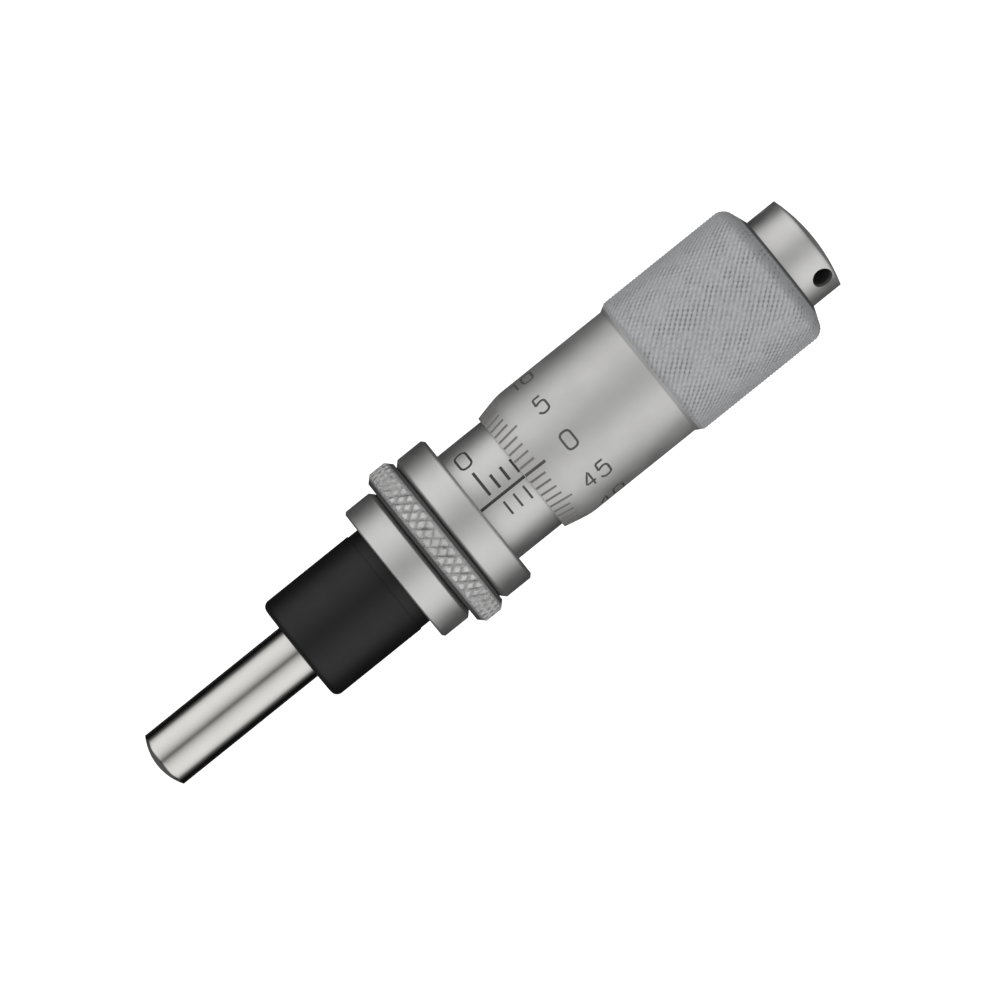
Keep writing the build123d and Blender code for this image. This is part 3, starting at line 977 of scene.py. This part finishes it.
class MICROMETER_OT_thimble_scale(Operator):
    """Engrave the fine scale and its numerals on the thimble"""

    bl_idname = "micrometer.thimble_scale"
    bl_label = "Engrave the thimble's scale"

    def execute(self, context):
        sizes = context.scene.micrometer_scale
        surface = surface_of(bpy.data.objects["thimble_body"].data)
        edge_x = THIMBLE_HIGH.x
        fine, zero = bmesh.new(), bmesh.new()
        for i in range(sizes.graduations):
            turn = Matrix.Rotation(2 * pi * i / sizes.graduations, 3, "X")
            line = bmesh.new() if i else zero
            run = sizes.short_line if i % 5 else sizes.long_line
            width = sizes.fine_width if i else sizes.index_width
            engraved_line(line, (edge_x - sizes.line_inset, 0), (edge_x - run, 0), width)
            seat(line, surface)
            if i:
                bmesh.ops.rotate(line, cent=(0, 0, 0), matrix=turn, verts=line.verts[:])
                part = bpy.data.meshes.new("line")
                line.to_mesh(part)
                line.free()
                fine.from_mesh(part)
                bpy.data.meshes.remove(part)
        for name, shape, material in (
            ("thimble_lines", fine, "soft_paint"),
            ("zero_line", zero, "worn_paint"),
        ):
            bmesh.ops.recalc_face_normals(shape, faces=shape.faces[:])
            new_piece(name, finished_mesh(shape, name), [material], "thimble")
        middle_x = edge_x - sizes.numeral_place
        around = 2 * pi * wrap_radius(surface, middle_x)
        labels = [
            (str(i), (middle_x, around * i / sizes.graduations + sizes.numeral_lift))
            for i in range(0, sizes.graduations, 5)
        ]
        height = sizes.thimble_numeral_height
        numerals_piece("thimble_numerals", labels, height, surface, "worn_paint", "thimble")
        return {"FINISHED"}


class MICROMETER_OT_studio(Operator):
    """Set up the floor, the soft light all round and the camera"""

    bl_idname = "micrometer.studio"
    bl_label = "Set up the studio"

    # Level of the light by the angle from straight above, in degrees, to either side of the axis
    levels = ((0, 0.11), (8, 0.30), (14, 0.43), (23, 0.58), (35, 0.71), (54, 0.79), (74, 0.77), (89, 0.56))
    # The camera's sensor width in millimetres, and the nearest distance that it sees
    sensor, clip = 36, 10 * MM
    # From the middle of the floor and of the card to their edges
    floor_half, card_half = 1500 * MM, 1400 * MM
    # Share of the axis in a direction, from where the light dims to where it is at the ends' level
    dims = (0.6, 0.98)
    # Level at which the floor is seen, and its grey under the light
    floor_glow, floor_grey = 0.9, 0.6
    # Two distances to the side in metres and the dark card's glow at each: under the head, and further out
    card_under = (0.012, 0.024, 0.03, 0.004)
    card_beside = (0.05, 0.30, 0.0, 0.42)

    def execute(self, context):
        studio = context.scene.micrometer_studio
        self.surroundings(context, studio)
        self.floor(studio)
        self.dark_card(studio)
        self.camera(context, studio)
        context.scene.view_settings.view_transform = "Standard"
        return {"FINISHED"}

    def surroundings(self, context, studio):
        """Soft light from both sides, grey overhead and dim towards both ends; white for the camera."""
        world = bpy.data.worlds.new("surroundings")
        context.scene.world = world
        world.use_nodes = True
        tree = world.node_tree
        background = tree.nodes["Background"]
        seen = {"Vector": add(tree, "TexCoord").outputs["Generated"], "Angle": -studio.tilt}
        turned = add(tree, "VectorRotate", seen, rotation_type="X_AXIS").outputs[0]
        place = add(tree, "SeparateXYZ", {0: turned}).outputs
        across = math(tree, "ABSOLUTE", place["Y"])
        upwards = math(tree, "ABSOLUTE", place["Z"])
        angle = math(tree, "DIVIDE", math(tree, "ARCTAN2", across, upwards), pi / 2)
        ramp = add(tree, "ValToRGB", {0: angle})
        stops = ramp.color_ramp.elements
        while len(stops) < len(self.levels):
            stops.new(0.5)
        for stop, (degrees, level) in zip(stops, self.levels):
            stop.position = degrees / 90
            stop.color = (level, level, level, 1)
        along = math(tree, "ABSOLUTE", place["X"])
        ends = spread(tree, along, *self.dims, studio.light, studio.end_light)
        light = math(tree, "MULTIPLY", ramp.outputs["Color"], ends)
        level = math(tree, "MAXIMUM", light, add(tree, "LightPath").outputs["Is Camera Ray"])
        background.inputs["Color"].default_value = (1, 1, 1, 1)
        tree.links.new(level, background.inputs["Strength"])

    def floor(self, studio):
        """A pale floor that looks white and keeps the object's shadow."""
        tree, surface = self.stage_material("floor_white")
        path = add(tree, "LightPath").outputs
        seen = math(tree, "MAXIMUM", path["Is Camera Ray"], path["Is Glossy Ray"])
        seen = math(tree, "MAXIMUM", seen, path["Is Transmission Ray"])
        seen = math(tree, "MULTIPLY", seen, self.floor_glow)
        glow = add(tree, "Emission", {"Color": (1, 1, 1, 1), "Strength": seen})
        grey = self.floor_grey
        plain = add(tree, "BsdfDiffuse", {"Color": (grey, grey, grey, 1)})
        both = add(tree, "AddShader", {0: glow.outputs[0], 1: plain.outputs[0]})
        tree.links.new(both.outputs[0], surface)
        shape = bmesh.new()
        bmesh.ops.create_grid(shape, x_segments=8, y_segments=8, size=self.floor_half)
        self.stage_piece("studio_floor", shape, ["floor_white"], studio, studio.floor_depth)

    def dark_card(self, studio):
        """A dark card under the head, seen only in its reflections, that draws the dark edges of the metal.

        It is grey right under the head, grows lighter to both sides, and has a grey patch for the dome at
        each end.
        """
        tree, surface = self.stage_material("card_dark")
        side = add(tree, "SeparateXYZ", {0: object_place(tree)}).outputs["Y"]
        side = math(tree, "ABSOLUTE", side)
        under = spread(tree, side, *self.card_under)
        level = math(tree, "ADD", under, spread(tree, side, *self.card_beside))
        tree.links.new(add(tree, "Emission", {"Strength": level}).outputs[0], surface)
        tree, surface = self.stage_material("card_grey")
        tree.links.new(add(tree, "Emission", {"Strength": studio.patch_level}).outputs[0], surface)
        near = (cad_box[0].x - studio.card_end, cad_box[1].x + studio.card_end)
        far = (near[0] - studio.patch, near[1] + studio.patch)
        half = studio.patch / 4
        rows = (-self.card_half, far[0], near[0], near[1], far[1], self.card_half)
        columns = (-self.card_half, -half, half, self.card_half)
        shape = bmesh.new()
        for i, (x0, x1) in enumerate(zip(rows, rows[1:])):
            for j, (y0, y1) in enumerate(zip(columns, columns[1:])):
                corners = [(x0, y0, 0), (x1, y0, 0), (x1, y1, 0), (x0, y1, 0)]
                face = shape.faces.new([shape.verts.new(corner) for corner in corners])
                face.material_index = int(i in (1, 3) and j == 1)
        merge(shape)
        card = self.stage_piece("studio_card", shape, ["card_dark", "card_grey"], studio, studio.card_depth)
        card.visible_camera = False
        card.visible_diffuse = False
        card.visible_shadow = False
        card.visible_transmission = False

    def stage_material(self, name):
        """A material without a shader: its node tree and the socket that a shader goes to."""
        material = bpy.data.materials.new(name)
        material.use_nodes = True
        tree = material.node_tree
        tree.nodes.remove(tree.nodes["Principled BSDF"])
        return tree, tree.nodes["Material Output"].inputs["Surface"]

    def stage_piece(self, name, shape, materials, studio, depth):
        """A flat piece of the stage, under the head and turned to face the camera."""
        bmesh.ops.translate(shape, vec=(0, 0, -depth), verts=shape.verts[:])
        bmesh.ops.rotate(shape, matrix=Matrix.Rotation(studio.tilt, 3, "X"), verts=shape.verts[:])
        piece = linked(name, finished_mesh(shape, name), materials)
        return piece

    def camera(self, context, studio):
        """The camera of the picture, turned about the measuring axis."""
        lens = bpy.data.cameras.new("camera")
        lens.lens = studio.lens
        lens.sensor_width = self.sensor
        lens.clip_start = self.clip
        holder = bpy.data.objects.new("camera", lens)
        turn = Matrix.Rotation(studio.tilt, 4, "X") @ Matrix.Rotation(studio.roll, 4, "Z")
        back = Matrix.Translation((studio.shift_right, studio.shift_up, studio.distance))
        holder.matrix_world = Matrix.Translation((studio.middle, 0, 0)) @ turn @ back
        context.scene.collection.objects.link(holder)
        context.scene.camera = holder


OPERATORS = (
    MICROMETER_OT_finishes,
    MICROMETER_OT_stem,
    MICROMETER_OT_rims,
    MICROMETER_OT_thimble,
    MICROMETER_OT_main_scale,
    MICROMETER_OT_thimble_scale,
    MICROMETER_OT_studio,
)


class MICROMETER_PT_sidebar(Panel):
    """Lists the steps and the sizes of the micrometer head"""

    bl_label = "Micrometer head"
    bl_idname = "MICROMETER_PT_sidebar"
    bl_space_type = "VIEW_3D"
    bl_region_type = "UI"
    bl_category = "Micrometer head"

    def draw(self, context):
        for operator in OPERATORS:
            self.layout.operator(operator.bl_idname)
        for name, group in SETTINGS.items():
            box = self.layout.box()
            box.label(text=group.__doc__)
            settings = getattr(context.scene, name)
            for key in group.__annotations__:
                box.prop(settings, key)


CLASSES = (*SETTINGS.values(), *OPERATORS, MICROMETER_PT_sidebar)


def register():
    for item in CLASSES:
        bpy.utils.register_class(item)
    for name, group in SETTINGS.items():
        setattr(bpy.types.Scene, name, PointerProperty(type=group))


def unregister():
    for name in SETTINGS:
        delattr(bpy.types.Scene, name)
    for item in reversed(CLASSES):
        bpy.utils.unregister_class(item)


def main():
    """Builds the whole head and its studio."""
    register()
    bpy.ops.micrometer.finishes()
    bpy.ops.micrometer.stem()
    bpy.ops.micrometer.rims()
    bpy.ops.micrometer.thimble()
    bpy.ops.micrometer.main_scale()
    bpy.ops.micrometer.thimble_scale()
    bpy.ops.micrometer.studio()


if __name__ == "__main__":
    main()
